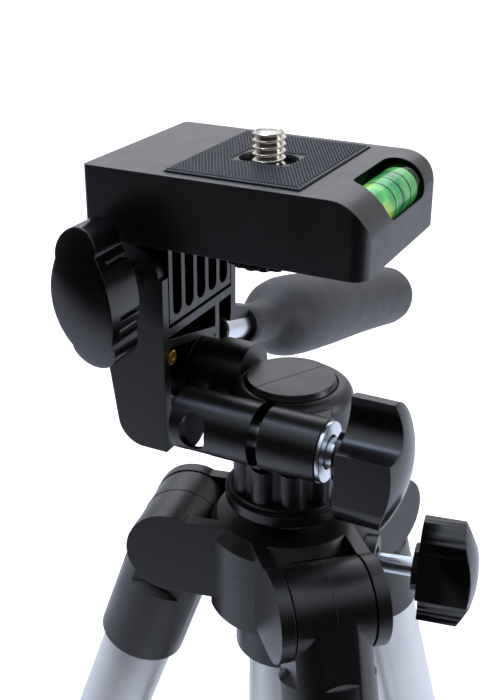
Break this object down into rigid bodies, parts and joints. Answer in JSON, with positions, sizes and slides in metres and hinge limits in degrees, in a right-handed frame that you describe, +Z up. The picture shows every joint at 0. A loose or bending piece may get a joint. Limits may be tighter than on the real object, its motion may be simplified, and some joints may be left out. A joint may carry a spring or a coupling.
{
  "type": "camera tripod with pan head",
  "caption": "Compact aluminium tripod with a pan, tilt and flip camera head, a level vial, wing knobs, a pan handle, a centre column and telescoping legs.",
  "frame": {"origin": "foot of the camera screw, on the camera screw's axis at the top face of the platform", "axes": "+Z up along the camera screw, +X along the platform towards its level, -Y where the lens points, handle towards +Y"},
  "size_m": [0.2098, 0.2276, 0.3675],
  "materials": {
    "shell": "moulded, satin",
    "knob": "moulded, semi-gloss",
    "grip": "soft matt",
    "rubber": "matt, fine pimples on the pad",
    "steel": "bright plated",
    "alloy": "drawn and anodised, satin",
    "vial": "clear tube with green liquid"
  },
  "bodies": {
    "shoulder": {"shoulder_upper": "shell", "shoulder_lower": "shell", "leg_hinge_pins": "steel"},
    "column": {"centre_column": "alloy", "column_collar": "shell", "pan_spindle": "steel", "column_end_cap": "shell"},
    "pan_head": {"pan_housing": "shell", "pan_cap": "shell", "clamp_nut": "steel", "pan_washer": "steel", "tilt_pivot": "steel"},
    "pan_lock": {"pan_knob": "knob", "pan_clamp_bolt": "steel"},
    "tilt_head": {"tilt_arm": "shell", "flip_bolt": "steel"},
    "flip_lock": {"flip_knob": "knob"},
    "handle": {"handle_rod": "steel", "handle_grip": "grip"},
    "platform": {"camera_plate": "shell", "plate_pad": "rubber", "level_vial": "vial"},
    "mount_screw": {"camera_screw": "steel", "screw_thumbwheel": "knob"},
    "column_lock": {"column_knob": "knob", "column_lock_bolt": "steel"},
    "spreader": {"spreader_hub": "shell"},
    "leg_1": {"leg_1_sleeve": "shell", "leg_1_upper_tube": "alloy", "leg_1_strut_collar": "shell", "leg_1_upper_lock": "shell"},
    "leg_1_brace": {"leg_1_strut": "shell"},
    "leg_1_upper_clip": {"leg_1_upper_lever": "knob"},
    "leg_1_middle": {"leg_1_middle_tube": "alloy", "leg_1_lower_lock": "shell"},
    "leg_1_lower_clip": {"leg_1_lower_lever": "knob"},
    "leg_1_lower": {"leg_1_lower_tube": "alloy", "leg_1_foot": "rubber"},
    "leg_2": {"leg_2_sleeve": "shell", "leg_2_upper_tube": "alloy", "leg_2_strut_collar": "shell", "leg_2_upper_lock": "shell"},
    "leg_2_brace": {"leg_2_strut": "shell"},
    "leg_2_upper_clip": {"leg_2_upper_lever": "knob"},
    "leg_2_middle": {"leg_2_middle_tube": "alloy", "leg_2_lower_lock": "shell"},
    "leg_2_lower_clip": {"leg_2_lower_lever": "knob"},
    "leg_2_lower": {"leg_2_lower_tube": "alloy", "leg_2_foot": "rubber"},
    "leg_3": {"leg_3_sleeve": "shell", "leg_3_upper_tube": "alloy", "leg_3_strut_collar": "shell", "leg_3_upper_lock": "shell"},
    "leg_3_brace": {"leg_3_strut": "shell"},
    "leg_3_upper_clip": {"leg_3_upper_lever": "knob"},
    "leg_3_middle": {"leg_3_middle_tube": "alloy", "leg_3_lower_lock": "shell"},
    "leg_3_lower_clip": {"leg_3_lower_lever": "knob"},
    "leg_3_lower": {"leg_3_lower_tube": "alloy", "leg_3_foot": "rubber"}
  },
  "joints": [
    {"name": "column_lift", "type": "slide", "parent": "shoulder", "child": "column", "axis": [0, 0, 1], "range_m": [0, 0.15]},
    {"name": "column_lock_turn", "type": "hinge", "parent": "shoulder", "child": "column_lock", "pos_m": [0.026, 0.00197, -0.084], "axis": [0.9848, 0.1736, 0], "range_deg": [0, 360]},
    {"name": "pan", "type": "hinge", "parent": "column", "child": "pan_head", "pos_m": [0.0063, -0.0015, -0.05], "axis": [0, 0, 1], "continuous": true},
    {"name": "pan_lock_turn", "type": "hinge", "parent": "pan_head", "child": "pan_lock", "pos_m": [0.02, -0.0145, -0.0505], "axis": [1, 0, 0], "range_deg": [0, 360]},
    {"name": "tilt", "type": "hinge", "parent": "pan_head", "child": "tilt_head", "pos_m": [-0.0155, 0.001, -0.047], "axis": [1, 0, 0], "range_deg": [-30, 70]},
    {"name": "handle_turn", "type": "hinge", "parent": "tilt_head", "child": "handle", "pos_m": [-0.0175, 0.017, -0.0445], "axis": [0, 0.9622, -0.2723], "range_deg": [0, 360]},
    {"name": "flip", "type": "hinge", "parent": "tilt_head", "child": "platform", "pos_m": [-0.0228, 0, -0.0223], "axis": [0, -1, 0], "range_deg": [0, 90]},
    {"name": "flip_lock_turn", "type": "hinge", "parent": "tilt_head", "child": "flip_lock", "pos_m": [-0.0228, -0.025, -0.0223], "axis": [0, -1, 0], "range_deg": [0, 360]},
    {"name": "mount_screw_turn", "type": "hinge", "parent": "platform", "child": "mount_screw", "pos_m": [0, 0, -0.01], "axis": [0, 0, 1], "continuous": true},
    {"name": "leg_1_fold", "type": "hinge", "parent": "shoulder", "child": "leg_1", "pos_m": [-0.01669, -0.00639, -0.083], "axis": [0.2079, -0.9781, 0], "range_deg": [0, 18.2]},
    {"name": "leg_1_brace_fold", "type": "hinge", "parent": "leg_1", "child": "leg_1_brace", "pos_m": [-0.04117, -0.01159, -0.19072], "axis": [0.2079, -0.9781, 0], "range_deg": [0, 28]},
    {"name": "leg_1_upper_clip_open", "type": "hinge", "parent": "leg_1", "child": "leg_1_upper_clip", "pos_m": [-0.10031, -0.02416, -0.29258], "axis": [0.2079, -0.9781, 0], "range_deg": [0, 100]},
    {"name": "leg_1_middle_extend", "type": "slide", "parent": "leg_1", "child": "leg_1_middle", "axis": [-0.3185, -0.0677, -0.9455], "range_m": [0, 0.16]},
    {"name": "leg_1_lower_clip_open", "type": "hinge", "parent": "leg_1_middle", "child": "leg_1_lower_clip", "pos_m": [-0.11082, -0.02639, -0.32379], "axis": [0.2079, -0.9781, 0], "range_deg": [0, 100]},
    {"name": "leg_1_lower_extend", "type": "slide", "parent": "leg_1_middle", "child": "leg_1_lower", "axis": [-0.3185, -0.0677, -0.9455], "range_m": [0, 0.15]},
    {"name": "leg_2_fold", "type": "hinge", "parent": "shoulder", "child": "leg_2", "pos_m": [0.02202, -0.01896, -0.083], "axis": [0.7431, 0.6691, 0], "range_deg": [0, 18.2]},
    {"name": "leg_2_brace_fold", "type": "hinge", "parent": "leg_2", "child": "leg_2_brace", "pos_m": [0.03878, -0.03757, -0.19072], "axis": [0.7431, 0.6691, 0], "range_deg": [0, 28]},
    {"name": "leg_2_upper_clip_open", "type": "hinge", "parent": "leg_2", "child": "leg_2_upper_clip", "pos_m": [0.07923, -0.0825, -0.29258], "axis": [0.7431, 0.6691, 0], "range_deg": [0, 100]},
    {"name": "leg_2_middle_extend", "type": "slide", "parent": "leg_2", "child": "leg_2_middle", "axis": [0.2178, -0.2419, -0.9455], "range_m": [0, 0.16]},
    {"name": "leg_2_lower_clip_open", "type": "hinge", "parent": "leg_2_middle", "child": "leg_2_lower_clip", "pos_m": [0.08642, -0.09048, -0.32379], "axis": [0.7431, 0.6691, 0], "range_deg": [0, 100]},
    {"name": "leg_2_lower_extend", "type": "slide", "parent": "leg_2_middle", "child": "leg_2_lower", "axis": [0.2178, -0.2419, -0.9455], "range_m": [0, 0.15]},
    {"name": "leg_3_fold", "type": "hinge", "parent": "shoulder", "child": "leg_3", "pos_m": [0.01356, 0.02085, -0.083], "axis": [-0.9511, 0.309, 0], "range_deg": [0, 18.2]},
    {"name": "leg_3_brace_fold", "type": "hinge", "parent": "leg_3", "child": "leg_3_brace", "pos_m": [0.0213, 0.04466, -0.19072], "axis": [-0.9511, 0.309, 0], "range_deg": [0, 28]},
    {"name": "leg_3_upper_clip_open", "type": "hinge", "parent": "leg_3", "child": "leg_3_upper_clip", "pos_m": [0.03998, 0.10216, -0.29258], "axis": [-0.9511, 0.309, 0], "range_deg": [0, 100]},
    {"name": "leg_3_middle_extend", "type": "slide", "parent": "leg_3", "child": "leg_3_middle", "axis": [0.1006, 0.3096, -0.9455], "range_m": [0, 0.16]},
    {"name": "leg_3_lower_clip_open", "type": "hinge", "parent": "leg_3_middle", "child": "leg_3_lower_clip", "pos_m": [0.0433, 0.11238, -0.32379], "axis": [-0.9511, 0.309, 0], "range_deg": [0, 100]},
    {"name": "leg_3_lower_extend", "type": "slide", "parent": "leg_3_middle", "child": "leg_3_lower", "axis": [0.1006, 0.3096, -0.9455], "range_m": [0, 0.15]},
    {"name": "spreader_slide", "type": "slide", "parent": "shoulder", "child": "spreader", "axis": [0, 0, 1], "range_m": [0, 0.01345]}
  ],
  "couplings": [
    {"joint": "leg_1_brace_fold", "follows": "leg_1_fold", "ratio": 1.451},
    {"joint": "leg_2_fold", "follows": "leg_1_fold", "ratio": 1},
    {"joint": "leg_2_brace_fold", "follows": "leg_1_fold", "ratio": 1.451},
    {"joint": "leg_3_fold", "follows": "leg_1_fold", "ratio": 1},
    {"joint": "leg_3_brace_fold", "follows": "leg_1_fold", "ratio": 1.451},
    {"joint": "spreader_slide", "follows": "leg_1_fold", "m_per_rad": 0.039362}
  ]
}
